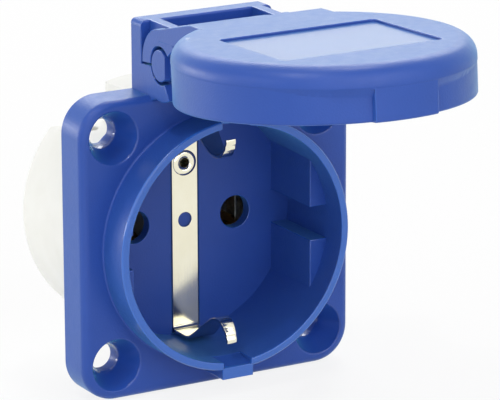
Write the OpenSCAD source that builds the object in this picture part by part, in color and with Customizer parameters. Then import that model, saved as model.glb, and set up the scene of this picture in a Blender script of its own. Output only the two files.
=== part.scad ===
// Panel socket outlet with side earth contacts and a hinged lid, shown with the lid open.
// Millimetres. X right, Y back into the panel, Z up. Origin: centre of the flange's back face.

/* [Flange] */
// Flange width and height
flange_w = 50; // [48:0.5:60]
// Flange thickness
flange_t = 6.7; // [6:0.1:8]
// Flange corner radius
flange_corner_r = 6; // [4:0.5:8]
// Rounding of the flange's front edge
flange_edge_r = 1.3; // [0.5:0.1:1.3]
// Distance between the mounting holes, both ways
hole_pitch = 38; // [37:0.5:39]
// Mounting hole diameter
hole_d = 4.5; // [3.5:0.1:5]
// Countersink diameter at the front
sink_d = 8.8; // [7:0.1:9.4]
// Countersink depth
sink_h = 4.5; // [2.5:0.1:5]
// Rounding of the countersink's front edge
sink_edge_r = 0.35; // [0.1:0.05:0.4]
// Width of the seal in the flange's back
flange_seal_w = 1.4; // [1:0.1:1.6]
// Thickness of the seal in the flange's back
flange_seal_t = 1.2; // [0.8:0.1:2]

/* [Collar and recess] */
// Radius of the plug recess
recess_r = 19.8; // [19.4:0.1:20.2]
// Collar wall thickness
collar_wall = 1.3; // [1.1:0.1:1.5]
// Height of the collar in front of the flange
collar_h = 6.35; // [5.5:0.05:7.5]
// Rounding where the collar meets the flange
collar_foot_r = 0.3; // [0.3:0.1:0.8]
// Rounding of the rim's outer edge
rim_out_r = 0.35; // [0.1:0.05:0.5]
// Rounding of the rim's inner edge
rim_in_r = 0.2; // [0.1:0.05:0.4]
// Depth of the recess from the collar rim
recess_depth = 17.55; // [17.2:0.05:18.5]
// Thickness of the recess floor
floor_t = 2; // [1.6:0.1:3]
// Distance from the axis to the flat side blocks
block_x = 16.5; // [16:0.1:17.5]
// Depth of the side blocks' front faces below the rim
block_drop = 4.8; // [3:0.1:7]
// Width of the groove between the side blocks
block_groove_w = 5.7; // [5:0.1:7]
// Width of the bulge in the collar beside each earth spring
bulge_w = 5.7; // [5.4:0.1:6.5]
// Height of that bulge outside the collar
bulge_h = 1.45; // [1.2:0.05:1.6]
// Depth of the notch in the rim over each earth spring
channel_d = 0.75; // [0.6:0.05:1]
// Length over which that notch fades into the recess
channel_run = 4; // [3:0.5:8]
// Width of the notch and of the strip's groove
channel_w = 5.2; // [5.1:0.1:5.4]

/* [Pin holes and contacts] */
// Distance between the two pin holes
pin_pitch = 19; // [18.5:0.1:19.5]
// Pin hole diameter
pin_hole_d = 5.5; // [5:0.1:6]
// Contact sheet thickness
contact_t = 0.7; // [0.5:0.05:0.9]
// Contact leaf width
contact_w = 4.8; // [4:0.1:5.2]
// Clear height between the contact leaves
leaf_gap = 4.3; // [4:0.1:4.6]
// Spring clip sheet thickness
clip_t = 0.45; // [0.3:0.05:0.6]
// Spring clip length
clip_len = 3; // [2:0.1:3.2]

/* [Earth strip] */
// Strip width
strip_w = 4.8; // [4:0.1:5]
// Strip thickness
strip_t = 0.5; // [0.4:0.05:0.7]
// Gap between the strip's two bent ends and the recess wall
strip_gap = 0.9; // [0.8:0.05:1.4]
// Width of the spring at its crest
spring_w = 2.6; // [2.2:0.1:3.2]
// Width of the spring at its tip
spring_tip_w = 1.8; // [1.5:0.1:2.4]
// How far the spring's crest stands inside the recess wall
crest_in = 5.9; // [4.8:0.1:6.8]
// Reach of the spring's tip in front of the flange's back
spring_reach = 11; // [10:0.05:12]
// How far the spring's tip stands inside the recess wall
tip_in = 2.6; // [1.8:0.1:3.3]
// Height of the two small waves in the spring's tip
tip_wave = 0.05; // [0:0.01:0.1]
// Diameter of the hole in the strip's middle
strip_hole_d = 2.5; // [1.5:0.1:3]
// Height of the rivet above the axis
rivet_z = 9.75; // [8.5:0.05:10.5]
// Rivet head diameter
rivet_head_d = 4.4; // [3.6:0.1:4.8]
// Rivet shank diameter
rivet_d = 2.8; // [2.4:0.1:3.2]
// Rivet hole diameter
rivet_hole_d = 1.65; // [1.4:0.05:2]

/* [Hinge] */
// Half of the hinge's width
hinge_half_w = 12.1; // [11.5:0.1:13]
// Distance of the pin axis in front of the flange's back
hinge_y = 9.6; // [9.4:0.1:10.4]
// Height of the pin axis above the flange's top edge
hinge_rise = 5.6; // [5.4:0.1:7]
// Radius of the lid's hinge barrel and ears
knuckle_r = 5.9; // [5.4:0.1:6]
// Hinge pin diameter
pin_d = 5.2; // [4.6:0.1:5.6]
// Diameter of the clear ring around the pin's ends
pin_ring_d = 6.3; // [6.2:0.1:6.6]
// How far the pin's ends stand out of the lid's ears
pin_proud = 0.1; // [0:0.05:0.3]
// Length of the flat on each end of the pin
pin_flat_len = 0.9; // [0.5:0.1:1.5]
// Thickness of the two pin lugs
lug_t = 1.9; // [1.5:0.1:2.4]
// Thickness of the lid's ears
ear_t = 1.4; // [1.2:0.05:1.7]
// Angle of the ears' front end above the lid's plane
ear_end = 33; // [10:1:36]
// Rounding of the hinge plate's top edges
plate_edge_r = 0.4; // [0.2:0.1:0.6]
// Angle of the open lid above level
lid_tilt = 4.5; // [2:0.5:6]

/* [Lid] */
// Lid wall thickness
lid_wall = 1.65; // [1.4:0.05:1.9]
// Thickness of the lid's top
lid_top_t = 2.53; // [2.3:0.01:3]
// Fall of the lid's top towards the front, in degrees
lid_slope = 2.2; // [1:0.1:3]
// Rounding of the lid's top edge
lid_edge_r = 3; // [2.5:0.1:3.2]
// Rounding of the skirt's lower edge
skirt_edge_r = 0.4; // [0.2:0.1:0.6]
// How far the lid's front and finger tab stand out
tab_out = 0.9; // [0.8:0.05:1.2]
// Finger tab width
tab_w = 11; // [9:0.5:14]
// Angle to each side of the tab over which the lid's front stands out
front_a = 57; // [40:1:80]
// Width of the bare panel in the lid's top
panel_w = 28; // [22:0.5:28]
// Length of the bare panel
panel_len = 19.9; // [16:0.1:21]
// Distance of the panel's middle past the lid's centre
panel_off = 2.15; // [1:0.05:3]
// Depth of the panel
panel_d = 0.4; // [0.2:0.05:0.6]
// Corner radius of the panel
panel_r = 0.8; // [0.5:0.1:3]
// Width of the lid seal
lid_seal_w = 2.2; // [1.8:0.1:2.3]
// Thickness of the lid seal
lid_seal_t = 1.2; // [1.1:0.05:1.5]

/* [Rear body] */
// Radius of the white rear body
carrier_r = 21.4; // [21.2:0.1:21.8]
// Wall thickness of the rear body
carrier_wall = 1.4; // [1.2:0.1:1.5]
// Length of the rear body behind the recess floor
carrier_len = 15.2; // [15:0.1:18]
// Thickness of its back wall
back_t = 1.7; // [1.5:0.1:2.4]
// Height of its two top shoulders above the axis
shoulder_z = 14.2; // [13.9:0.1:15]
// Half width of its raised middle
middle_half_w = 5.6; // [5.4:0.1:6]
// Radius of the pin towers on its back
tower_r = 4.4; // [4.1:0.1:4.6]
// Length of the pin towers
tower_len = 4.2; // [3.8:0.1:6]

/* [Terminals and screws] */
// Height of the two side terminal screws above the axis
terminal_z = 9.3; // [9:0.1:9.6]
// Sideways place of the two side terminal screws
terminal_x = 11; // [10.8:0.1:11.4]
// Height of the earth terminal screw above the axis
earth_z = 15.6; // [15.4:0.1:15.8]
// Terminal screw diameter
screw_d = 3; // [2.5:0.1:3.2]
// Terminal screw head diameter
screw_head_d = 5; // [4.6:0.1:5.2]
// Saddle clamp width and height
clamp_w = 4.8; // [4.4:0.1:5]
// Saddle clamp sheet thickness
clamp_t = 0.9; // [0.7:0.1:1.1]
// Clear space for the wire under the saddle clamp
wire_gap = 3.4; // [2.8:0.1:4]
// Sideways place of the two fixing screws
fixing_x = 12.5; // [12:0.1:12.8]
// Distance of the fixing screws below the axis
fixing_drop = 10.5; // [10:0.1:10.8]
// Fixing screw diameter
fixing_d = 2.4; // [2.2:0.1:2.8]

/* [Clearances] */
// Space between parts that move past each other
move_gap = 0.35; // [0.3:0.05:0.4]
// Side space between the hinge's ears, lugs and barrel
side_gap = 0.3; // [0.3:0.05:0.35]
// Radial running clearance of the lid on its pin
run_gap = 0.06; // [0.03:0.01:0.09]
// Space between the lid's skirt and the collar
lid_gap = 0.65; // [0.6:0.05:0.8]
// Space between the closed lid's skirt and the flange
skirt_gap = 0.45; // [0.4:0.05:0.6]

/* [Hidden] */
$fn = 96;
e = 0.01;
blue = [0.10, 0.20, 0.55];
white = [0.90, 0.90, 0.87];
plated = [0.78, 0.76, 0.70];
brass = [0.75, 0.60, 0.30];
steel = [0.62, 0.63, 0.65];
soft = [0.16, 0.16, 0.17];

half = flange_w / 2;
collar_r = recess_r + collar_wall;
rim = flange_t + collar_h;
floor_y = recess_depth - rim;
cup_y = floor_y + floor_t;
channel_r = recess_r + channel_d;
strip_end = recess_r - strip_gap;
spring_crest = recess_r - crest_in;
spring_tip_r = recess_r - tip_in;
bulge_r = collar_r + bulge_h;

pin_z = half + hinge_rise;
plate_t = hinge_y - knuckle_r - move_gap;
lug_r = knuckle_r + 0.2;
plate_top = pin_z + lug_r;
ear_x1 = hinge_half_w;
ear_x0 = ear_x1 - ear_t;
lug_x1 = ear_x0 - side_gap;
lug_x0 = lug_x1 - lug_t;
barrel_x = lug_x0 - side_gap;

seal_out = lid_seal_t / 2;
lid_in_r = collar_r + lid_gap;
lid_r = lid_in_r + lid_wall;
lid_c = pin_z;
skirt_w = -(hinge_y - flange_t - skirt_gap);
inner_w = rim - hinge_y + seal_out + move_gap;
top_w = inner_w + lid_top_t;
seal_r1 = lid_in_r - 0.3;
seal_r0 = seal_r1 - lid_seal_w;
notch_half_w = bulge_w / 2 + move_gap;
notch_r = bulge_r + 0.48;
neck_w = knuckle_r - 2;
stop_a = 90 + lid_tilt - ear_end;
ledge = tab_out + 0.1;
crown_w = top_w - lid_edge_r - 0.25;
crown_r = lid_r + 0.03;
front_off = tab_out / (1 - cos(front_a));
front_r = crown_r + tab_out - front_off;
neck_f = crown_w * sin(lid_slope) - lid_c * cos(lid_slope);
neck_h = crown_w - lid_c * sin(lid_slope) - crown_w * cos(lid_slope);
sink_a = atan((sink_d - hole_d) / 2 / sink_h);

back_y = cup_y + carrier_len;
back_in = back_y - back_t;
cav_r = carrier_r - carrier_wall;
bar_y = back_in - contact_t;
contact_x = pin_pitch / 2;
clamp_y = bar_y - wire_gap - clamp_t;
leaf_z = leaf_gap / 2;
boss_y = cup_y + 6.5;
seat_y = back_y - 1.125 * fixing_d;

function arc(cx, cy, r, a0, a1, n) = [for (i = [0:n]) let (a = a0 + (a1 - a0) * i / n)
    [cx + r * cos(a), cy + r * sin(a)]];

// Turns shapes drawn with their front upwards so that the front faces -Y.
module faced() {
    rotate([90, 0, 0]) children();
}

// Extrudes an outline of (distance forward, height) across the object from x0 to x1.
module across(x0, x1) {
    translate([x1, 0, 0]) rotate([90, 0, -90]) linear_extrude(x1 - x0) children();
}

// Round bar or bore across the object from x0 to x1 on the hinge axis.
module axle(r, x0, x1) {
    translate([x0, 0, 0]) rotate([0, 90, 0]) cylinder(h = x1 - x0, r = r);
}

// Round bar or bore from y0 back to y1.
module rod(x, z, r, y0, y1) {
    translate([x, y1, z]) rotate([90, 0, 0]) cylinder(h = y1 - y0, r = r);
}

// Box from one corner to the other.
module box(a, b) {
    translate(a) cube(b - a);
}

module at_hinge() {
    translate([0, -hinge_y, pin_z]) children();
}

module at_lid() {
    at_hinge() rotate([-lid_tilt, 0, 0]) children();
}

// Flange outline seen along one edge, with the front edges rounded.
module flange_section() {
    polygon(concat([[-half, 0], [half, 0]],
        arc(half - flange_edge_r, flange_t - flange_edge_r, flange_edge_r, 0, 90, 5),
        arc(-half + flange_edge_r, flange_t - flange_edge_r, flange_edge_r, 90, 180, 5)));
}

module flange_plate() {
    run = flange_w - 2 * flange_corner_r;
    rotate([90, 0, 0]) linear_extrude(run, center = true) flange_section();
    rotate([90, 0, 90]) linear_extrude(run, center = true) flange_section();
    for (sx = [-1, 1], sy = [-1, 1])
        translate([sx * run / 2, sy * run / 2, 0])
            rotate_extrude() polygon(concat([[0, 0], [flange_corner_r, 0]],
                arc(flange_corner_r - flange_edge_r, flange_t - flange_edge_r, flange_edge_r, 0, 90, 5),
                [[0, flange_t]]));
}

// Collar and the cup behind the flange, as one solid of revolution.
module collar_solid() {
    f = collar_foot_r;
    rotate_extrude() polygon(concat([[0, -cup_y], [collar_r, -cup_y], [collar_r, flange_t - 1],
        [collar_r + f, flange_t - 1]],
        arc(collar_r + f, flange_t + f, f, 270, 180, 4),
        arc(collar_r - rim_out_r, rim - rim_out_r, rim_out_r, 0, 90, 5), [[0, rim]]));
}

// Plug recess: round, with two flat blocks on each side and a groove between them.
module recess_space() {
    difference() {
        rotate_extrude() polygon(concat([[0, -floor_y], [recess_r, -floor_y]],
            arc(recess_r + rim_in_r, rim - rim_in_r, rim_in_r, 180, 90, 4),
            [[recess_r + rim_in_r, rim + 1], [0, rim + 1]]));
        for (sx = [0, 1], sy = [0, 1])
            mirror([sx, 0, 0]) mirror([0, sy, 0])
                box([block_x, block_groove_w / 2, -floor_y - 1], [recess_r + 1, recess_r, rim - block_drop]);
    }
}

// Upright plate behind the hinge barrel, with rounded top corners and edges.
module hinge_plate() {
    w = hinge_half_w;
    r = plate_edge_r;
    intersection() {
        across(-w, w) polygon(concat([[0, half - 6], [plate_t, half - 6]],
            arc(plate_t - r, plate_top - r, r, 0, 90, 5), arc(r, plate_top - r, r, 90, 180, 5)));
        translate([0, 1, 0]) rotate([90, 0, 0]) linear_extrude(plate_t + 2)
            polygon(concat([[-w, half - 7], [w, half - 7]],
                arc(w - 1, plate_top - 1, 1, 0, 90, 6), arc(-w + 1, plate_top - 1, 1, 90, 180, 6)));
    }
}

// Web that joins the round of a lug to the flange's top edge.
module lug_web() {
    polygon([[flange_t - flange_edge_r - 1, half - 1], [flange_t - 0.3, half - 0.7],
        [hinge_y - 1.4, half - 0.15], [hinge_y, half + 1], [flange_t - flange_edge_r - 1, half + 2]]);
}

// The plate, two pin lugs, and the two stops below the lid's ears.
module hinge_lugs() {
    far = 2 * knuckle_r;
    stop_z = pin_z - move_gap - knuckle_r * sin(lid_tilt) - 0.1;
    stop_f = move_gap * tan(stop_a / 2);
    stop_y = flange_t - flange_edge_r - 0.2;
    difference() {
        union() {
            hinge_plate();
            for (s = [-1, 1]) {
                a = s > 0 ? lug_x0 : -lug_x1;
                box([a, -hinge_y, pin_z], [a + lug_t, -plate_t / 2, plate_top]);
                box([a, -stop_y, half - 4], [a + lug_t, -plate_t / 2, pin_z + 1]);
                at_hinge() axle(lug_r, a, a + lug_t);
                b = s > 0 ? lug_x1 - 0.2 : -ear_x1;
                box([b, -stop_y, half - 4], [b + ear_t + side_gap + 0.2, -plate_t / 2, stop_z]);
                across(min(a, b), max(a + lug_t, b + ear_t + side_gap + 0.2)) lug_web();
                intersection() {
                    at_hinge() axle(knuckle_r, b, b + ear_t + side_gap + 0.2);
                    at_lid() across(b - 1, b + ear_t + 2)
                        polygon([[-far, -move_gap], [-stop_f, -move_gap],
                            [-stop_f + far * cos(stop_a), -move_gap - far * sin(stop_a)], [-far, -far]]);
                }
            }
        }
        at_hinge() {
            axle(pin_d / 2, -hinge_half_w - 1, hinge_half_w + 1);
            axle(pin_ring_d / 2, lug_x1, hinge_half_w + 1);
            axle(pin_ring_d / 2, -hinge_half_w - 1, -lug_x1);
        }
    }
}

// Mounting hole with a countersink whose front edge is rounded.
module sunk_hole() {
    s = sink_edge_r;
    z1 = flange_t - s + s * sin(sink_a);
    c = hole_d / 2 + (z1 - flange_t + sink_h) * tan(sink_a) + s * cos(sink_a);
    rotate_extrude() polygon(concat([[0, -1], [hole_d / 2, -1], [hole_d / 2, flange_t - sink_h]],
        arc(c, flange_t - s, s, 180 - sink_a, 90, 4), [[c, flange_t + 1], [0, flange_t + 1]]));
}

module housing() {
    color(blue) difference() {
        union() {
            faced() flange_plate();
            faced() collar_solid();
            for (s = [-1, 1])
                box([-bulge_w / 2, -rim, s > 0 ? recess_r : -bulge_r],
                    [bulge_w / 2, -1, s > 0 ? bulge_r : -recess_r]);
            hinge_lugs();
            for (s = [-1, 1])
                rod(s * fixing_x, -fixing_drop, fixing_d / 2 + 1.6, cup_y - 1, boss_y);
        }
        faced() recess_space();
        box([-channel_w / 2, floor_y - 1, -strip_end - strip_t],
            [channel_w / 2, floor_y + strip_t, strip_end + strip_t]);
        for (m = [0, 1])
            mirror([0, 0, m]) across(-channel_w / 2, channel_w / 2)
                polygon([[rim - channel_run, recess_r - 1], [rim + 1, recess_r - 1], [rim + 1, channel_r],
                    [rim - 1, channel_r], [rim - channel_run, recess_r]]);
        for (s = [-1, 1]) {
            rod(s * contact_x, 0, pin_hole_d / 2, floor_y - 1, cup_y + 1);
            rod(s * fixing_x, -fixing_drop, fixing_d / 2, cup_y - 0.6, boss_y + 1);
        }
        rod(0, rivet_z, rivet_d / 2, floor_y - 1, cup_y + 1);
        for (sx = [-1, 1], sz = [-1, 1])
            translate([sx * hole_pitch / 2, 0, sz * hole_pitch / 2]) faced() sunk_hole();
        faced() translate([0, 0, -e]) difference() {
            cylinder(h = flange_seal_t + e, r = collar_r + 1 + flange_seal_w);
            translate([0, 0, -1]) cylinder(h = flange_seal_t + 2, r = collar_r + 1);
        }
    }
}

// Tilts the lid's top about its middle so that it falls towards the front.
module crowned() {
    translate([0, -lid_c, crown_w]) rotate([lid_slope, 0, 0]) translate([0, 0, -crown_w]) children();
}

// Skirt of the lid, drawn about its own centre.
module skirt_solid(r) {
    q = skirt_edge_r;
    rotate_extrude() polygon(concat([[0, skirt_w]], arc(r - q, skirt_w + q, q, 270, 360, 4),
        [[r, top_w - 1], [0, top_w - 1]]));
}

// Top of the lid with a rounded edge; its lower edge runs inwards and fades into the skirt.
module crown_solid(r) {
    q = lid_edge_r;
    rotate_extrude() polygon(concat([[0, crown_w - 2 * ledge], [r - ledge, crown_w - 2 * ledge]],
        [[r, crown_w]], arc(r - q, top_w - q, q, 0, 90, 8), [[0, top_w]]));
}

// Side outline of the neck between the hinge barrel and the lid's top.
module lid_neck() {
    w0 = inner_w - neck_h;
    w1 = top_w - neck_h;
    polygon([[0, neck_w], [0, knuckle_r], [10, w1], [15, w1], [15, w0], [9, w0 - 1], [6, neck_w]]);
}

// Cutter for the bare panel, with rounded corners.
module lid_panel() {
    a = panel_w / 2 - panel_r;
    b = panel_len / 2 - panel_r;
    translate([0, 0, top_w - panel_d]) {
        translate([-panel_w / 2, -b, 0]) cube([panel_w, 2 * b, 2]);
        translate([-a, -panel_len / 2, 0]) cube([2 * a, panel_len, 2]);
        for (sx = [-1, 1], sy = [-1, 1])
            translate([sx * a, sy * b, 0]) cylinder(h = 2, r = panel_r, $fn = 32);
    }
}

module lid() {
    color(blue) at_lid() difference() {
        union() {
            difference() {
                union() {
                    translate([0, -lid_c, 0]) skirt_solid(lid_r - 0.03);
                    intersection() {
                        translate([0, -lid_c - front_off, 0]) skirt_solid(front_r - 0.03);
                        box([-tab_w / 2, -lid_c - lid_r - 3, skirt_w], [tab_w / 2, -lid_c, top_w]);
                    }
                }
                crowned() box([-lid_r - 5, -lid_r - 5, crown_w + 0.15], [lid_r + 5, lid_r + 5, top_w + 5]);
            }
            crowned() {
                crown_solid(crown_r);
                translate([0, -front_off, 0]) crown_solid(front_r);
                translate([0, -neck_f, neck_h]) across(-ear_x1, ear_x1) lid_neck();
            }
            axle(knuckle_r, -barrel_x, barrel_x);
            for (s = [-1, 1])
                intersection() {
                    axle(knuckle_r, s > 0 ? ear_x0 : -ear_x1, s > 0 ? ear_x1 : -ear_x0);
                    across(-ear_x1 - 1, ear_x1 + 1)
                        polygon([[-9, 0], [0, 0], [9, 9 * tan(ear_end)], [9, 9], [-9, 9]]);
                }
        }
        difference() {
            translate([0, -lid_c, skirt_w - 1]) cylinder(h = inner_w - skirt_w + 1, r = lid_in_r);
            across(-barrel_x, barrel_x) polygon([[0, -9], [knuckle_r, -9], [knuckle_r, 9], [0, 9]]);
        }
        translate([0, -lid_c, inner_w - e]) difference() {
            cylinder(h = lid_seal_t / 2 + e, r = seal_r1);
            translate([0, 0, -1]) cylinder(h = lid_seal_t + 2, r = seal_r0);
        }
        box([-notch_half_w, -lid_c - notch_r, skirt_w - 1], [notch_half_w, -lid_c, inner_w]);
        box([-notch_half_w, -lid_c, skirt_w - 1], [notch_half_w, -knuckle_r - 0.5, inner_w]);
        for (s = [-1, 1]) {
            a = s > 0 ? barrel_x : -ear_x0;
            axle(lug_r + move_gap, a, a + lug_t + 2 * side_gap);
            box([a, -3, -8], [a + lug_t + 2 * side_gap, 9, 9]);
        }
        axle(pin_d / 2 + run_gap, -barrel_x - e, barrel_x + e);
        axle(pin_ring_d / 2, ear_x0 - e, ear_x1 + e);
        axle(pin_ring_d / 2, -ear_x1 - e, -ear_x0 + e);
        crowned() translate([0, -panel_off, 0]) lid_panel();
    }
}

// Round pin with a flat on the front of each end.
module hinge_pin() {
    x = ear_x1 + pin_proud;
    r = pin_d / 2;
    q = 0.1;
    color(blue) at_hinge() difference() {
        rotate([0, 90, 0]) rotate_extrude()
            polygon([[0, -x], [r - q, -x], [r, -x + q], [r, x - q], [r - q, x], [0, x]]);
        for (m = [0, 1])
            mirror([m, 0, 0]) box([x - pin_flat_len, -pin_d, -pin_d], [x + 1, -0.7 * r, pin_d]);
    }
}

module lid_seal() {
    color(soft) at_lid() translate([0, -lid_c, inner_w - seal_out]) difference() {
        cylinder(h = lid_seal_t, r = seal_r1);
        translate([0, 0, -1]) cylinder(h = lid_seal_t + 2, r = seal_r0);
    }
}

module flange_seal() {
    color(soft) faced() difference() {
        cylinder(h = flange_seal_t, r = collar_r + 1 + flange_seal_w);
        translate([0, 0, -1]) cylinder(h = flange_seal_t + 2, r = collar_r + 1);
    }
}

// Round entry for a wire, from the terminal up through the rear body's top.
module wire_hole(x, z) {
    translate([x, bar_y - wire_gap / 2, z]) cylinder(h = carrier_r - z + 1, r = wire_gap / 2);
}

// Cutter for the two top shoulders of the rear body, larger by the wall t.
module shoulders(t) {
    for (m = [0, 1])
        mirror([m, 0, 0])
            box([middle_half_w - t, cup_y - 2, shoulder_z - t], [2 * carrier_r, back_y + 2, half]);
}

// White rear body: a drum open to the front, with two cut shoulders and a raised middle.
module carrier() {
    color(white) difference() {
        union() {
            difference() {
                rod(0, 0, carrier_r, cup_y, back_y);
                shoulders(0);
                difference() {
                    rod(0, 0, cav_r, cup_y - 1, back_in);
                    shoulders(carrier_wall - 0.1);
                }
            }
            for (s = [-1, 1]) {
                rod(s * contact_x, 0, tower_r, back_in, back_y + tower_len);
                rod(s * fixing_x, -fixing_drop, fixing_d / 2 + 1.9, boss_y, back_y);
            }
        }
        for (s = [-1, 1]) {
            rod(s * contact_x, 0, tower_r - 1.3, back_in - 1, back_y + tower_len - 1.2);
            rod(s * fixing_x, -fixing_drop, fixing_d / 2 + 0.3, boss_y - 1, back_y);
            rod(s * fixing_x, -fixing_drop, 1.1 * fixing_d, seat_y, back_y + 1);
            rod(s * terminal_x, terminal_z, screw_head_d / 2 + 0.3, back_in - 1, back_y + 1);
            wire_hole(s * terminal_x, terminal_z);
        }
        rod(0, earth_z, screw_head_d / 2 + 0.3, back_in - 1, back_y + 1);
        wire_hole(0, earth_z);
    }
}

// Contact for one pin: two sprung leaves and a bar up to the terminal.
module contact(s) {
    a = contact_x - contact_w / 2;
    b = contact_x + contact_w / 2;
    y0 = cup_y + 0.7;
    t = contact_t;
    plate = tower_r - 0.7;
    root_z = leaf_z + 0.75;
    mouth_z = leaf_z + 0.8;
    color(brass) mirror([s > 0 ? 0 : 1, 0, 0]) difference() {
        union() {
            box([contact_x - plate, bar_y, -root_z - t], [contact_x + plate, back_in, root_z + t]);
            box([a, bar_y, root_z], [terminal_x + clamp_w / 2, back_in, terminal_z + clamp_w / 2]);
            for (m = [0, 1])
                mirror([0, 0, m]) across(a, b)
                    polygon([[-bar_y - 0.1, root_z], [-y0 - 5.5, leaf_z], [-y0 - 1.8, leaf_z],
                        [-y0, mouth_z], [-y0, mouth_z + t], [-y0 - 1.8, leaf_z + t],
                        [-y0 - 5.5, leaf_z + t], [-bar_y - 0.1, root_z + t]]);
        }
        rod(contact_x, 0, tower_r - 1.6, bar_y - 1, back_in + 1);
        rod(terminal_x, terminal_z, screw_d / 2 + 0.1, bar_y - 1, back_in + 1);
    }
}

module contact_left() {
    contact(-1);
}

module contact_right() {
    contact(1);
}

// Steel clip that presses the two leaves together from outside.
module contact_clip(s) {
    a = contact_x - contact_w / 2 + 0.4;
    b = contact_x + contact_w / 2 + 0.4 + clip_t;
    z0 = leaf_z + contact_t;
    y0 = cup_y + 0.7 + 2.1;
    color(steel) mirror([s > 0 ? 0 : 1, 0, 0]) {
        box([a, y0, z0], [b, y0 + clip_len, z0 + clip_t]);
        box([a, y0, -z0 - clip_t], [b, y0 + clip_len, -z0]);
        box([b - clip_t, y0, -z0 - clip_t], [b, y0 + clip_len, z0 + clip_t]);
    }
}

module contact_clip_left() {
    contact_clip(-1);
}

module contact_clip_right() {
    contact_clip(1);
}

// Saddle clamp: a plate with two side walls that stand on the terminal bar.
module clamp(x, z) {
    w = clamp_w / 2;
    color(plated) difference() {
        box([x - w, clamp_y, z - w], [x + w, bar_y, z + w]);
        box([x - w + clamp_t, clamp_y + clamp_t, z - w - 1], [x + w - clamp_t, bar_y + 1, z + w + 1]);
        rod(x, z, screw_d / 2, clamp_y - 1, bar_y + 1);
    }
}

module clamp_left() {
    clamp(-terminal_x, terminal_z);
}

module clamp_right() {
    clamp(terminal_x, terminal_z);
}

module earth_clamp() {
    clamp(0, earth_z);
}

// Slotted screw with its head against the terminal bar's back face.
module clamp_screw(x, z) {
    color(plated) difference() {
        union() {
            rod(x, z, screw_d / 2, clamp_y - 1.2, back_in);
            rod(x, z, screw_head_d / 2, back_in, back_y - 0.2);
        }
        box([x - 0.4, back_y - 1, z - 4], [x + 0.4, back_y + 1, z + 4]);
    }
}

module clamp_screw_left() {
    clamp_screw(-terminal_x, terminal_z);
}

module clamp_screw_right() {
    clamp_screw(terminal_x, terminal_z);
}

module earth_screw() {
    clamp_screw(0, earth_z);
}

// Points along the middle of one earth spring, as (distance forward, height).
function spring_path() =
    let (t = strip_t, c = strip_end, k = spring_crest, r = spring_reach, f = -floor_y, d = c - k,
        h = spring_tip_r - k)
    [[f - t / 2, -0.83 * c], [f - t / 2, -c + 2.6 * t], [f - t / 2, -c + 1.3 * t],
    [f + 0.3 * t, -c + 0.35 * t], [f + 1.5 * t, -c], [f / 2, -c], [-0.05 * r, -c],
    [0.05 * r, -c + 0.03 * d], [0.12 * r, -c + 0.12 * d], [0.24 * r, -c + 0.32 * d],
    [0.36 * r, -c + 0.54 * d], [0.49 * r, -c + 0.76 * d], [0.59 * r, -c + 0.92 * d],
    [0.67 * r, -k - 0.01 * d], [0.755 * r, -k], [0.835 * r, -k - 0.08 * h], [0.9 * r, -k - 0.26 * h],
    [0.935 * r, -k - 0.41 * h], [0.96 * r + tip_wave, -k - 0.55 * h],
    [0.972 * r - tip_wave, -k - 0.68 * h], [0.988 * r + tip_wave, -k - 0.83 * h],
    [0.99 * r - tip_wave, -k - h]];

// Smooth line through the points p, with n steps from each to the next.
function eased(p, n) = concat([for (i = [0:len(p) - 2], j = [0:n - 1])
    let (t = j / n, a = p[max(i - 1, 0)], b = p[i], c = p[i + 1], d = p[min(i + 2, len(p) - 1)])
    b + (c - a) * t / 2 + (2 * a - 5 * b + 4 * c - d) * t * t / 2 + (3 * b - a - 3 * c + d) * t * t * t / 2],
    [p[len(p) - 1]]);

// The line q moved sideways by t.
function beside(q, t) = [for (i = [0:len(q) - 1])
    let (d = q[min(i + 1, len(q) - 1)] - q[max(i - 1, 0)]) q[i] + t * [-d[1], d[0]] / norm(d)];

// Side outline of one earth spring.
module spring_side() {
    seat = -floor_y - strip_t / 2;
    q = [for (v = eased(spring_path(), 3)) [max(v[0], seat), v[1]]];
    back = beside(q, -strip_t / 2);
    polygon(concat(beside(q, strip_t / 2), [for (i = [len(q) - 1:-1:0]) back[i]]));
}

// Plan outline of one earth spring, narrower towards its tip.
module spring_plan() {
    w = strip_w / 2;
    m = spring_w / 2;
    tip = spring_tip_w / 2;
    r = spring_reach;
    side = [[w, floor_y + 2], [w, -0.05 * r], [m, -0.66 * r], [tip + 0.15, -0.9 * r], [tip, -0.98 * r],
        [tip - 0.3, -1.2 * r]];
    polygon(concat(side, [for (i = [len(side) - 1:-1:0]) [-side[i][0], side[i][1]]]));
}

module earth_strip() {
    w = strip_w / 2;
    color(plated) difference() {
        union() {
            box([-w, floor_y, -0.85 * strip_end], [w, floor_y + strip_t, 0.85 * strip_end]);
            for (m = [0, 1])
                mirror([0, 0, m]) intersection() {
                    across(-w, w) spring_side();
                    translate([0, 0, -channel_r - 1]) linear_extrude(channel_r) spring_plan();
                }
        }
        rod(0, 0, strip_hole_d / 2, floor_y - 1, floor_y + 2);
        rod(0, rivet_z, rivet_d / 2, floor_y - 1, floor_y + 2);
    }
}

// Tubular rivet through the strip, the recess floor and the link bar.
module earth_rivet() {
    back = cup_y + contact_t;
    h = 0.5;
    roll_h = 0.25;
    roll_w = (rivet_head_d - rivet_hole_d) / 4;
    color(plated) translate([0, 0, rivet_z]) {
        difference() {
            union() {
                rod(0, 0, rivet_d / 2, floor_y, back + h);
                rod(0, 0, rivet_head_d / 2 - 0.1, back, back + h);
            }
            rod(0, 0, rivet_hole_d / 2, floor_y - 1, back + h + 1);
        }
        faced() translate([0, 0, -floor_y]) rotate_extrude()
            polygon([for (v = [1:-0.2:-1])
                [rivet_hole_d / 2 + roll_w * (1 + v), roll_h * (1 - v * v)]]);
    }
}

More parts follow.
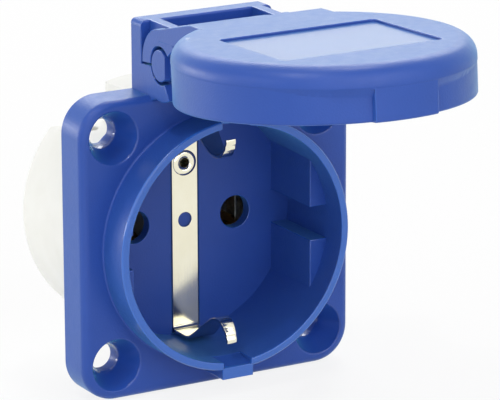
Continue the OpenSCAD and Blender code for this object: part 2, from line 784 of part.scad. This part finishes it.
// Bent bar from the rivet to the earth terminal.
module earth_link() {
    w = clamp_w / 2;
    t = contact_t;
    z0 = rivet_z - rivet_head_d / 2 - 0.2;
    z1 = earth_z - w - 0.3;
    color(plated) difference() {
        union() {
            box([-w, cup_y, z0], [w, cup_y + t, z1]);
            box([-w, cup_y, z1 - t], [w, back_in, z1]);
            box([-w, bar_y, z1 - t], [w, back_in, earth_z + w]);
        }
        rod(0, rivet_z, rivet_d / 2, cup_y - 1, cup_y + t + 1);
        rod(0, earth_z, screw_d / 2 + 0.1, bar_y - 1, back_in + 1);
    }
}

// Slotted screw that holds the rear body to the housing.
module fixing_screw(s) {
    d = fixing_d;
    x = s * fixing_x;
    z = -fixing_drop;
    color(steel) difference() {
        union() {
            rod(x, z, d / 2, cup_y + 0.25 * d, seat_y);
            rod(x, z, 0.96 * d, seat_y, seat_y + 0.8 * d);
        }
        box([x - d / 6, seat_y + 0.45 * d, z - 2 * d], [x + d / 6, seat_y + 2 * d, z + 2 * d]);
    }
}

module fixing_screw_left() {
    fixing_screw(-1);
}

module fixing_screw_right() {
    fixing_screw(1);
}

housing();
lid();
hinge_pin();
lid_seal();
flange_seal();
carrier();
contact_left();
contact_right();
contact_clip_left();
contact_clip_right();
clamp_left();
clamp_right();
clamp_screw_left();
clamp_screw_right();
earth_strip();
earth_rivet();
earth_link();
earth_clamp();
earth_screw();
fixing_screw_left();
fixing_screw_right();
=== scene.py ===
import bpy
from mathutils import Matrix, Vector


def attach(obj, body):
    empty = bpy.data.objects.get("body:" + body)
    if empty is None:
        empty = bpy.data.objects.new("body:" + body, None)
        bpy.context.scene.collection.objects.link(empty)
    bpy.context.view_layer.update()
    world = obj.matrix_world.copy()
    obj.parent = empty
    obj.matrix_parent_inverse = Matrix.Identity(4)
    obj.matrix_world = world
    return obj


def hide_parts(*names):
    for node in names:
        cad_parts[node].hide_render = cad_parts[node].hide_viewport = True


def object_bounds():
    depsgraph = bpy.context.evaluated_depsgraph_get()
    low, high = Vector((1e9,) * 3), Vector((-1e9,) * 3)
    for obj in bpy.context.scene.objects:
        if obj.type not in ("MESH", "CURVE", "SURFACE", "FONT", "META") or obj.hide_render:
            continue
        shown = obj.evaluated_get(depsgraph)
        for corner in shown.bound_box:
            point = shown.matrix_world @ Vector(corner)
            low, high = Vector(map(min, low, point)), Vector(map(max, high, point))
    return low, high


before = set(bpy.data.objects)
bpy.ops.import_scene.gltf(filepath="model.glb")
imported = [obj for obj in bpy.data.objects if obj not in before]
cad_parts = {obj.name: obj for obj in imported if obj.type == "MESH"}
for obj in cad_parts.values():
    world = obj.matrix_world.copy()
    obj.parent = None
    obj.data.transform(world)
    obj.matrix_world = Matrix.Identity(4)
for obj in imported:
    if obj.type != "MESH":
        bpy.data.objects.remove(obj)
cad_box = [list(corner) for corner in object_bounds()]

import math

import bmesh
import bpy
from mathutils import Matrix, Vector
from mathutils.bvhtree import BVHTree

# Camera: stands to the left of the socket and a little above it, as for a catalogue picture.
# A long lens far away, so the flange's sides stay almost parallel.
photo_w, photo_h = 500, 400
focal_px = 3543.7
middle_px = (250.83, 199.94)
camera_place = (-0.27265, -0.49014, 0.16303)
turn, look_down, roll = math.radians(29.973), math.radians(15.791), math.radians(-0.205)

lens = bpy.data.cameras.new("photo_camera")
lens.sensor_width = 36
lens.lens = focal_px / photo_w * lens.sensor_width
lens.shift_x = (photo_w / 2 - middle_px[0]) / photo_w
lens.shift_y = (middle_px[1] - photo_h / 2) / photo_w
lens.clip_start = 0.01
ahead = Vector((math.sin(turn) * math.cos(look_down),
                math.cos(turn) * math.cos(look_down),
                -math.sin(look_down)))
across = Vector((math.cos(turn), -math.sin(turn), 0))
right = Matrix.Rotation(-roll, 3, ahead) @ across
camera = bpy.data.objects.new("photo_camera", lens)
camera.matrix_world = Matrix((right, right.cross(ahead), -ahead)).transposed().to_4x4()
camera.matrix_world.translation = Vector(camera_place)
bpy.context.scene.collection.objects.link(camera)
bpy.context.scene.camera = camera

# Housing: flange, collar, plug recess and hinge plate, one injection moulding in blue polyamide.
# The flange is screwed to a panel through its four countersunk holes.
# The tool leaves every outer edge with a small round, which shows as a thin pale line.
mm = 0.001
mould_round = 0.13 * mm
hole_reach, sink_reach = 19 * mm, 5 * mm
cone_least, cone_most = 0.3, 0.9
rim_front, rim_reach = -12.6 * mm, 23 * mm
edge_pale, rim_pale = 0.3, 0.8


def to_linear(hex_colour):
    shares = [int(hex_colour[i:i + 2], 16) / 255 for i in (1, 3, 5)]
    return [s / 12.92 if s <= 0.04045 else ((s + 0.055) / 1.055) ** 2.4 for s in shares] + [1]


def add_node(material, kind, links=(), values=(), **settings):
    tree = material.node_tree
    node = tree.nodes.new(kind)
    for name, value in settings.items():
        setattr(node, name, value)
    for socket, value in values:
        node.inputs[socket].default_value = value
    for socket, source in links:
        tree.links.new(source, node.inputs[socket])
    return node


def new_material(name):
    material = bpy.data.materials.new(name)
    material.use_nodes = True
    return material, material.node_tree.nodes["Principled BSDF"]


# Every piece is a copy of its solid with the outer corners rounded that turn by more than corner_turn.
# A round that strays from the solid by more than stray_share of its radius, or turns a face over, has
# no room.
merge_reach, crowd_reach = 0.001 * mm, 0.3 * mm
corner_turn, crease_turn = math.radians(30), math.radians(50)
round_steps, round_tries, stray_share = 2, 5, 0.6
turned_over, same_plane = -0.1, 1 - 1e-6
speck_area, even_area, plane_area = 1e-4 * mm * mm, 0.3 * mm * mm, 4 * mm * mm
plane_faces = 3


def round_corners(node, radius, crowded):
    # Gives the rounded mesh, the faces of its rounds, and the spots where a round has no room.
    bm = bmesh.new()
    bm.from_mesh(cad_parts[node].data)
    bmesh.ops.remove_doubles(bm, verts=bm.verts, dist=merge_reach)
    bm.faces.layers.float.new("edge_wear_and_pale_rim")
    bm.faces.layers.float.new("polish")
    solid = BVHTree.FromBMesh(bm)
    corners = [edge for edge in bm.edges if edge.is_convex and edge.calc_face_angle() > corner_turn
               and all((v.co - spot).length > crowd_reach for v in edge.verts for spot in crowded)]
    rounds = bmesh.ops.bevel(bm, geom=corners, offset=radius, offset_type="OFFSET",
                             segments=round_steps, profile=0.5, affect="EDGES",
                             clamp_overlap=False, material=-1)["faces"]
    bm.normal_update()
    no_room = [v.co.copy() for v in bm.verts
               if solid.find_nearest(v.co)[3] > stray_share * radius]
    for face in bm.faces:
        middle = face.calc_center_median()
        turned = face.normal.dot(solid.find_nearest(middle)[1])
        if face.calc_area() > speck_area and turned < turned_over:
            no_room.append(middle)
    return bm, rounds, no_room


def draw_planes_flat(faces):
    # Triangles of one large plane are drawn flat, so that long thin ones leave no streaks.
    while faces:
        plane, rest = [], [faces.pop()]
        while rest:
            plane.append(rest.pop())
            for edge in plane[-1].edges:
                for other in edge.link_faces:
                    if other in faces and other.normal.dot(plane[-1].normal) > same_plane:
                        faces.remove(other)
                        rest.append(other)
        if len(plane) > plane_faces and sum(face.calc_area() for face in plane) > plane_area:
            for face in plane:
                face.smooth = False


def rounded_copy(node, name, body, material, radius, polished=None, drawn_pale=None, gloss=1):
    # An edge with no room for its round beside a neighbour stays sharp, so no face folds over.
    crowded = []
    for attempt in range(round_tries):
        if attempt:
            bm.free()
        bm, rounds, no_room = round_corners(node, radius, crowded)
        if not no_room:
            break
        crowded += no_room
    pale_layer = bm.faces.layers.float["edge_wear_and_pale_rim"]
    smooth_tool = bm.faces.layers.float["polish"]
    for face in bm.faces:
        face.smooth = True
        if polished and polished(face):
            face[smooth_tool] = gloss
        # Faces picked out here, such as the rim's front face, get the paler tint and the smooth skin.
        if drawn_pale and drawn_pale(face):
            face[pale_layer] = rim_pale
            face[smooth_tool] = 1
    for face in rounds:
        face[pale_layer] = max(face[pale_layer], edge_pale)
        face[smooth_tool] = 1
    draw_planes_flat(set(bm.faces) - set(rounds))
    for edge in bm.edges:
        edge.smooth = edge.calc_face_angle(math.pi) < crease_turn
    mesh = bpy.data.meshes.new(name)
    bm.to_mesh(mesh)
    bm.free()
    mesh.materials.append(material)
    piece = bpy.data.objects.new(name, mesh)
    bpy.context.scene.collection.objects.link(piece)
    flats = piece.modifiers.new("flat_faces_stay_flat", "WEIGHTED_NORMAL")
    flats.mode = "FACE_AREA"
    flats.weight = 100
    flats.keep_sharp = True
    flats.thresh = even_area
    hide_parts(node)
    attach(piece, body)


# Polyamide, moulded in a spark-eroded tool: a deep blue with a dull satin skin, which a faint haze
# turns pale at a low angle. Countersinks were turned in the tool and stay smooth. Edges are rubbed
# paler and smooth. The rim that the lid's seal touches is drawn paler and smooth too. Both catch the
# lamps in thin lines.
# The eroded grain is about 0.04 mm, too fine to show, so it is drawn at 0.3 mm.
grain, flow, cloud = 0.3 * mm, 1.6 * mm, 7 * mm
satin_rough, satin_change, smooth_rough = 0.32, 0.16, 0.13
grain_rise, smooth_drop, grain_depth = 0.55, -0.5, 0.05 * mm
smooth_coat = 0.35
# Sockets of a Mix node: the factor, two numbers or two colours, and the colour that comes out.
factor, number_a, number_b, colour_a, colour_b, colour_out = 0, 2, 3, 6, 7, 2

blue, shader = new_material("polyamide_blue_moulded")
place = add_node(blue, "ShaderNodeTexCoord").outputs["Object"]
edges = add_node(blue, "ShaderNodeAttribute", attribute_name="edge_wear_and_pale_rim").outputs["Fac"]
smooth = add_node(blue, "ShaderNodeAttribute", attribute_name="polish").outputs["Fac"]
clouds = add_node(blue, "ShaderNodeTexNoise", [("Vector", place)],
                  [("Scale", 1 / cloud), ("Detail", 3)])
flows = add_node(blue, "ShaderNodeTexNoise", [("Vector", place)],
                 [("Scale", 1 / flow), ("Detail", 2)])
grains = add_node(blue, "ShaderNodeTexNoise", [("Vector", place)],
                  [("Scale", 1 / grain), ("Detail", 2)])
tint = add_node(blue, "ShaderNodeMix", [(factor, clouds.outputs["Fac"])],
                [(colour_a, to_linear("#274ca3")), (colour_b, to_linear("#2d53ac"))],
                data_type="RGBA")
pale_tint = add_node(blue, "ShaderNodeMix", [(factor, edges), (colour_a, tint.outputs[colour_out])],
                     [(colour_b, to_linear("#366fcc"))], data_type="RGBA")
satin = add_node(blue, "ShaderNodeMath", [(0, flows.outputs["Fac"])],
                 [(1, satin_change), (2, satin_rough)], operation="MULTIPLY_ADD")
skin = add_node(blue, "ShaderNodeMix", [(factor, smooth), (number_a, satin.outputs[0])],
                [(number_b, smooth_rough)])
eroded = add_node(blue, "ShaderNodeMath", [(0, smooth)], [(1, smooth_drop), (2, grain_rise)],
                  operation="MULTIPLY_ADD")
bumps = add_node(blue, "ShaderNodeBump",
                 [("Strength", eroded.outputs[0]), ("Height", grains.outputs["Fac"])],
                 [("Distance", grain_depth)])
gleam = add_node(blue, "ShaderNodeMath", [(0, smooth)], [(1, smooth_coat)], operation="MULTIPLY")
blue.node_tree.links.new(pale_tint.outputs[colour_out], shader.inputs["Base Color"])
blue.node_tree.links.new(skin.outputs[0], shader.inputs["Roughness"])
blue.node_tree.links.new(bumps.outputs["Normal"], shader.inputs["Normal"])
blue.node_tree.links.new(gleam.outputs[0], shader.inputs["Coat Weight"])
shader.inputs["Coat Roughness"].default_value = 0.07
shader.inputs["IOR"].default_value = 1.53
shader.inputs["Specular IOR Level"].default_value = 0.35
shader.inputs["Sheen Weight"].default_value = 0.35
shader.inputs["Sheen Roughness"].default_value = 0.4
shader.inputs["Sheen Tint"].default_value = to_linear("#74d0f0")


def in_countersink(face):
    # A face of the cone leans, unlike the flange's flat front and the wall of the straight hole.
    spot = face.calc_center_median()
    off_axis = math.hypot(abs(spot.x) - hole_reach, abs(spot.z) - hole_reach)
    return off_axis < sink_reach and cone_least < abs(face.normal.y) < cone_most


# The rim's front face is drawn in a paler tint and smooth.
def on_rim(face):
    spot = face.calc_center_median()
    return spot.y < rim_front and math.hypot(spot.x, spot.z) < rim_reach


rounded_copy("housing", "housing_moulding", "base", blue, mould_round,
             in_countersink, on_rim)

# Earth strip: one spring strip across the recess floor, bent forward at both ends, held by a tubular
# rivet. Rivet, link bar, clamps and screws carry the earth and the wires behind the floor.
# All are brass, pressed or turned, then plated with nickel.
sheet_round = 0.05 * mm

# Nickel over brass: a bright, slightly warm mirror with faint rolling streaks along the strip.
# The streaks are about 0.05 mm wide, too fine to show, so they are drawn at 0.25 mm.
streak_w, streak_len, stain = 0.25 * mm, 8 * mm, 3 * mm
rolled_rough, rolled_change, streak_depth = 0.1, 0.12, 0.01 * mm
plated, shader = new_material("brass_nickel_plated")
place = add_node(plated, "ShaderNodeTexCoord").outputs["Object"]
along = add_node(plated, "ShaderNodeMapping", [("Vector", place)],
                 [("Scale", (1 / streak_w, 1 / streak_w, 1 / streak_len))])
streaks = add_node(plated, "ShaderNodeTexNoise", [("Vector", along.outputs[0])],
                   [("Scale", 1), ("Detail", 2)])
stains = add_node(plated, "ShaderNodeTexNoise", [("Vector", place)],
                  [("Scale", 1 / stain), ("Detail", 3)])
tint = add_node(plated, "ShaderNodeMix", [(factor, stains.outputs["Fac"])],
                [(colour_a, to_linear("#ebe6cb")), (colour_b, to_linear("#f5f2df"))],
                data_type="RGBA")
rolled = add_node(plated, "ShaderNodeMath", [(0, streaks.outputs["Fac"])],
                  [(1, rolled_change), (2, rolled_rough)], operation="MULTIPLY_ADD")
bumps = add_node(plated, "ShaderNodeBump", [("Height", streaks.outputs["Fac"])],
                 [("Strength", 0.08), ("Distance", streak_depth)])
plated.node_tree.links.new(tint.outputs[colour_out], shader.inputs["Base Color"])
plated.node_tree.links.new(rolled.outputs[0], shader.inputs["Roughness"])
plated.node_tree.links.new(bumps.outputs["Normal"], shader.inputs["Normal"])
shader.inputs["Metallic"].default_value = 1

for node in ("earth_strip", "earth_rivet", "earth_link", "earth_clamp", "clamp_left", "clamp_right",
             "clamp_screw_left", "clamp_screw_right", "earth_screw"):
    rounded_copy(node, node + "_plated", "base", plated, sheet_round)

# Pin contacts: two sprung leaves behind each pin hole, which grip the plug's pin, and a bar up to the
# terminal. They are bent from brass sheet and slid into the rear body.

# Bare brass: warm yellow, with duller brown patches of tarnish a few millimetres across.
tarnish = 2.5 * mm
bright_rough, tarnish_rough = 0.14, 0.3
brass, shader = new_material("brass_sheet_bare")
place = add_node(brass, "ShaderNodeTexCoord").outputs["Object"]
patches = add_node(brass, "ShaderNodeTexNoise", [("Vector", place)],
                   [("Scale", 1 / tarnish), ("Detail", 4)])
tint = add_node(brass, "ShaderNodeMix", [(factor, patches.outputs["Fac"])],
                [(colour_a, to_linear("#d9b36c")), (colour_b, to_linear("#a87f40"))],
                data_type="RGBA")
dull = add_node(brass, "ShaderNodeMath", [(0, patches.outputs["Fac"])],
                [(1, tarnish_rough), (2, bright_rough)], operation="MULTIPLY_ADD")
brass.node_tree.links.new(tint.outputs[colour_out], shader.inputs["Base Color"])
brass.node_tree.links.new(dull.outputs[0], shader.inputs["Roughness"])
shader.inputs["Metallic"].default_value = 1

for node in ("contact_left", "contact_right"):
    rounded_copy(node, node + "_sheet", "base", brass, sheet_round)

# Spring clips over the pin contacts, and the two screws that hold the rear body to the housing.
# Steel, pressed or rolled, then zinc plated.

# Zinc on steel: blue-grey, softly mottled, with crystals about 0.6 mm across.
crystal = 0.6 * mm
zinc_rough, crystal_change = 0.24, 0.2
steel, shader = new_material("steel_zinc_plated")
place = add_node(steel, "ShaderNodeTexCoord").outputs["Object"]
crystals = add_node(steel, "ShaderNodeTexVoronoi", [("Vector", place)], [("Scale", 1 / crystal)])
tint = add_node(steel, "ShaderNodeMix", [(factor, crystals.outputs["Distance"])],
                [(colour_a, to_linear("#c6c9cc")), (colour_b, to_linear("#9ea2a7"))],
                data_type="RGBA")
dull = add_node(steel, "ShaderNodeMath", [(0, crystals.outputs["Distance"])],
                [(1, crystal_change), (2, zinc_rough)], operation="MULTIPLY_ADD")
steel.node_tree.links.new(tint.outputs[colour_out], shader.inputs["Base Color"])
steel.node_tree.links.new(dull.outputs[0], shader.inputs["Roughness"])
shader.inputs["Metallic"].default_value = 1

for node in ("contact_clip_left", "contact_clip_right", "fixing_screw_left", "fixing_screw_right"):
    rounded_copy(node, node + "_steel", "base", steel, sheet_round)

# Rear body: the round cup behind the flange that holds contacts and terminals, with wire and screw
# holes in its back. One moulding in white polyamide, fixed with two screws.
body_round = 0.15 * mm

# White polyamide: an even off-white, matt, with a faint cream cloudiness from the flow of the melt.
# Its grain is as fine as the housing's, and is drawn at 0.3 mm too.
cloud, grain = 6 * mm, 0.3 * mm
matt_rough, matt_change, grain_depth = 0.62, 0.14, 0.02 * mm
white, shader = new_material("polyamide_white_moulded")
place = add_node(white, "ShaderNodeTexCoord").outputs["Object"]
clouds = add_node(white, "ShaderNodeTexNoise", [("Vector", place)],
                  [("Scale", 1 / cloud), ("Detail", 3)])
grains = add_node(white, "ShaderNodeTexNoise", [("Vector", place)],
                  [("Scale", 1 / grain), ("Detail", 2)])
tint = add_node(white, "ShaderNodeMix", [(factor, clouds.outputs["Fac"])],
                [(colour_a, to_linear("#eaeae2")), (colour_b, to_linear("#f6f6f2"))],
                data_type="RGBA")
matt = add_node(white, "ShaderNodeMath", [(0, clouds.outputs["Fac"])],
                [(1, matt_change), (2, matt_rough)], operation="MULTIPLY_ADD")
bumps = add_node(white, "ShaderNodeBump", [("Height", grains.outputs["Fac"])],
                 [("Strength", 0.2), ("Distance", grain_depth)])
white.node_tree.links.new(tint.outputs[colour_out], shader.inputs["Base Color"])
white.node_tree.links.new(matt.outputs[0], shader.inputs["Roughness"])
white.node_tree.links.new(bumps.outputs["Normal"], shader.inputs["Normal"])
shader.inputs["IOR"].default_value = 1.53

rounded_copy("carrier", "rear_body", "base", white, body_round)

# Seals: a flat ring in the flange's back that presses on the panel, and a ring in the lid that closes
# on the collar's rim. Both are moulded rubber, pressed into their grooves.
seal_round = 0.1 * mm

# Rubber: near black and dull, with a dusty grain about 0.4 mm across.
dust = 0.4 * mm
rubber_rough, dust_change, dust_depth = 0.6, 0.2, 0.03 * mm
rubber, shader = new_material("rubber_black_moulded")
place = add_node(rubber, "ShaderNodeTexCoord").outputs["Object"]
dusts = add_node(rubber, "ShaderNodeTexNoise", [("Vector", place)],
                 [("Scale", 1 / dust), ("Detail", 3)])
tint = add_node(rubber, "ShaderNodeMix", [(factor, dusts.outputs["Fac"])],
                [(colour_a, to_linear("#222224")), (colour_b, to_linear("#363639"))],
                data_type="RGBA")
dull = add_node(rubber, "ShaderNodeMath", [(0, dusts.outputs["Fac"])],
                [(1, dust_change), (2, rubber_rough)], operation="MULTIPLY_ADD")
bumps = add_node(rubber, "ShaderNodeBump", [("Height", dusts.outputs["Fac"])],
                 [("Strength", 0.3), ("Distance", dust_depth)])
rubber.node_tree.links.new(tint.outputs[colour_out], shader.inputs["Base Color"])
rubber.node_tree.links.new(dull.outputs[0], shader.inputs["Roughness"])
rubber.node_tree.links.new(bumps.outputs["Normal"], shader.inputs["Normal"])

rounded_copy("flange_seal", "flange_seal_ring", "base", rubber, seal_round)
rounded_copy("lid_seal", "lid_seal_ring", "cover", rubber, seal_round)

# Hinge pin: a plain round bar through the housing's lugs and the lid's barrel and ears.
# It is moulded in the same blue polyamide and pushed in from the side.
pin_round = 0.03 * mm
rounded_copy("hinge_pin", "hinge_pin_bar", "base", blue, pin_round)

# Lid: a crowned cap with a lifting tab in front, on two ears around the pin, moulded in the same blue
# polyamide. The shallow panel on top has a smoother tool face, which shines a little more.
panel_height, panel_slack, panel_level = 37.9 * mm, 0.1 * mm, 0.99
panel_gloss = 0.6


def on_panel(face):
    height = face.normal.dot(face.calc_center_median())
    return face.normal.z > panel_level and abs(height - panel_height) < panel_slack


rounded_copy("lid", "lid_moulding", "cover", blue, mould_round, on_panel,
             gloss=panel_gloss)

# Studio floor: plain pale paper under the socket that runs out to a white background.
# It shows white to the lens and in reflections, and keeps a soft shadow of the socket.
floor_gap, floor_half, glow_share = 0.3 * mm, 3, 0.85
bm = bmesh.new()
bmesh.ops.create_grid(bm, x_segments=1, y_segments=1, size=floor_half)
bmesh.ops.translate(bm, verts=bm.verts, vec=(0, 0, cad_box[0][2] - floor_gap))
mesh = bpy.data.meshes.new("paper_floor")
bm.to_mesh(mesh)
bm.free()
floor = bpy.data.objects.new("paper_floor", mesh)
bpy.context.scene.collection.objects.link(floor)


def seen_by_lens(owner):
    # 1 for what the lens sees, straight or by a reflection, and 0 for light that falls on the socket.
    path = add_node(owner, "ShaderNodeLightPath")
    seen = path.outputs["Is Camera Ray"]
    for ray in ("Is Glossy Ray", "Is Transmission Ray"):
        seen = add_node(owner, "ShaderNodeMath", [(0, seen), (1, path.outputs[ray])],
                        operation="MAXIMUM").outputs[0]
    return seen


# Paper, smooth and uncoated: near white and dull, with fibres too fine to see.
paper, shader = new_material("paper_white")
shader.inputs["Base Color"].default_value = to_linear("#f2f2f2")
shader.inputs["Roughness"].default_value = 0.9
share = add_node(paper, "ShaderNodeMath", [(0, seen_by_lens(paper))], [(1, glow_share)],
                 operation="MULTIPLY")
glow = add_node(paper, "ShaderNodeEmission", values=[("Strength", 1)])
both = add_node(paper, "ShaderNodeMixShader",
                [(0, share.outputs[0]), (1, shader.outputs[0]), (2, glow.outputs[0])])
paper.node_tree.links.new(both.outputs[0], paper.node_tree.nodes["Material Output"].inputs[0])
mesh.materials.append(paper)

# Studio room: white too, so it shows as white behind the socket and in its reflections, and gives a
# weak even light from all sides.
room_light, room_white = 0.1, 1
world = bpy.data.worlds.new("studio_room")
world.use_nodes = True
strength = add_node(world, "ShaderNodeMapRange", [("Value", seen_by_lens(world))],
                    [("To Min", room_light), ("To Max", room_white)])
room = world.node_tree.nodes["Background"]
room.inputs["Color"].default_value = to_linear("#ffffff")
world.node_tree.links.new(strength.outputs[0], room.inputs["Strength"])
bpy.context.scene.world = world

# Studio lamps: white soft boxes turned to the socket, each with its place, its size and its watts.
# Those behind make the lid's top pale at a low angle, those at the left show the sides, and the two
# in front fill the flange and the recess.
for name, place, size, watts in (
        ("overhead_key", (0.23, 0.22, 0.84), (0.16, 0.16), 1.6),
        ("overhead_left", (-0.42, -0.14, 0.88), (0.30, 0.30), 1.3),
        ("left_key", (-0.40, -0.134, 0.84), (0.015, 0.015), 0.6),
        ("left_panel", (-0.95, -0.05, 0.35), (0.60, 0.50), 1.3),
        ("left_rear_panel", (-0.85, 0.60, 0.10), (0.80, 0.40), 1.4),
        ("left_rear_low", (-0.66, 0.75, 0.05), (0.60, 0.14), 2.3),
        ("rear_sweep_low", (0.45, 0.85, 0.15), (0.90, 0.35), 0.65),
        ("rear_sweep_high", (0.40, 0.75, 0.55), (0.90, 0.35), 4.1),
        ("front_fill", (-0.30, -0.85, 0.50), (1.20, 1.20), 5.1),
        ("front_right_fill", (0.30, -0.80, 0.50), (0.90, 0.90), 2.8)):
    light = bpy.data.lights.new(name, "AREA")
    light.shape = "RECTANGLE"
    light.size, light.size_y = size
    light.energy = watts
    lamp = bpy.data.objects.new(name, light)
    lamp.location = place
    lamp.rotation_euler = (-Vector(place)).to_track_quat("-Z", "Y").to_euler()
    lamp.visible_camera = False
    bpy.context.scene.collection.objects.link(lamp)

bpy.context.scene.view_settings.view_transform = "Standard"
